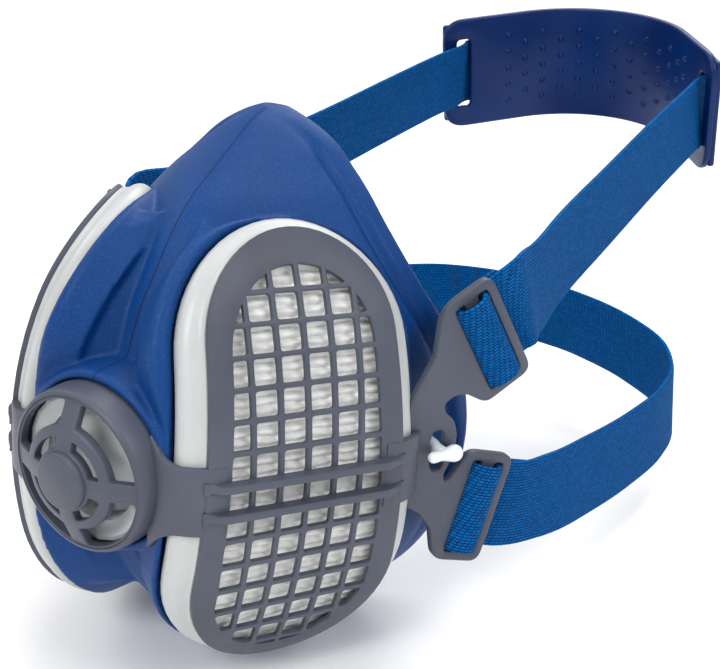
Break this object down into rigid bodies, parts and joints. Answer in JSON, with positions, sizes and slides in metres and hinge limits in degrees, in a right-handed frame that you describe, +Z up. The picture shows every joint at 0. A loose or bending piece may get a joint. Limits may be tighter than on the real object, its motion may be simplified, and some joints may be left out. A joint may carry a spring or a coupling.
{
  "type": "half-mask respirator",
  "caption": "Half-mask respirator with a soft face piece, slim side filters behind grilles, a front exhale valve, anchor plates, head cradle and elastic straps.",
  "frame": {"origin": "middle of the face opening, level with the exhale valve's axis", "axes": "+Z up on an upright wearer, +Y from the mask into the face, X across the face with the wearer's left at +X"},
  "size_m": [0.1314, 0.2736, 0.126],
  "materials": {
    "soft_blue": "matt moulded elastomer with a fine grain",
    "grey_plastic": "satin injection moulding",
    "white_plastic": "satin injection moulding",
    "filter_paper": "pleated fibre sheet",
    "clear_plastic": "clear polished plastic",
    "clear_rubber": "milky silicone",
    "port_plastic": "satin injection moulding",
    "white_nylon": "natural translucent nylon",
    "cradle_blue": "smooth flexible plastic",
    "blue_webbing": "woven elastic webbing"
  },
  "bodies": {
    "mask": {"face_piece": "soft_blue", "exoskeleton_frame": "grey_plastic", "exhale_valve_seat": "clear_plastic", "left_filter_cover": "grey_plastic", "right_filter_cover": "grey_plastic", "left_filter_case": "white_plastic", "right_filter_case": "white_plastic", "left_filter_media": "filter_paper", "right_filter_media": "filter_paper", "left_filter_back": "white_plastic", "right_filter_back": "white_plastic", "left_inlet_port": "port_plastic", "right_inlet_port": "port_plastic", "left_head_strap_loop": "blue_webbing", "right_head_strap_loop": "blue_webbing", "left_neck_strap_loop": "blue_webbing", "right_neck_strap_loop": "blue_webbing"},
    "exhale_valve": {"exhale_valve_disc": "clear_rubber"},
    "left_inhale_valve": {"left_inhale_disc": "clear_rubber"},
    "right_inhale_valve": {"right_inhale_disc": "clear_rubber"},
    "left_toggle_peg": {"left_toggle": "white_nylon"},
    "right_toggle_peg": {"right_toggle": "white_nylon"},
    "head_harness": {"head_cradle": "cradle_blue", "head_strap": "blue_webbing"},
    "neck_harness": {"neck_strap": "blue_webbing"}
  },
  "joints": [
    {"name": "exhale_valve_lift", "type": "slide", "parent": "mask", "child": "exhale_valve", "axis": [0, -1, 0], "range_m": [0, 0.002], "stiffness_N_per_m": 8},
    {"name": "left_inhale_valve_lift", "type": "slide", "parent": "mask", "child": "left_inhale_valve", "axis": [-0.8824, 0.4692, -0.0349], "range_m": [0, 0.0018], "stiffness_N_per_m": 8},
    {"name": "right_inhale_valve_lift", "type": "slide", "parent": "mask", "child": "right_inhale_valve", "axis": [0.8824, 0.4692, -0.0349], "range_m": [0, 0.0018], "stiffness_N_per_m": 8},
    {"name": "left_toggle_turn", "type": "hinge", "parent": "mask", "child": "left_toggle_peg", "pos_m": [0.051, -0.0139, -0.0037], "axis": [0.8829, -0.4695, 0], "range_deg": [-90, 90]},
    {"name": "right_toggle_turn", "type": "hinge", "parent": "mask", "child": "right_toggle_peg", "pos_m": [-0.051, -0.0139, -0.0037], "axis": [-0.8829, -0.4695, 0], "range_deg": [-90, 90]},
    {"name": "head_harness_swing", "type": "hinge", "parent": "mask", "child": "head_harness", "pos_m": [0, 0.0095, 0.0266], "axis": [1, 0, 0], "range_deg": [-15, 50]},
    {"name": "neck_strap_swing", "type": "hinge", "parent": "mask", "child": "neck_harness", "pos_m": [0, 0.0095, -0.0253], "axis": [1, 0, 0], "range_deg": [-50, 12]}
  ]
}
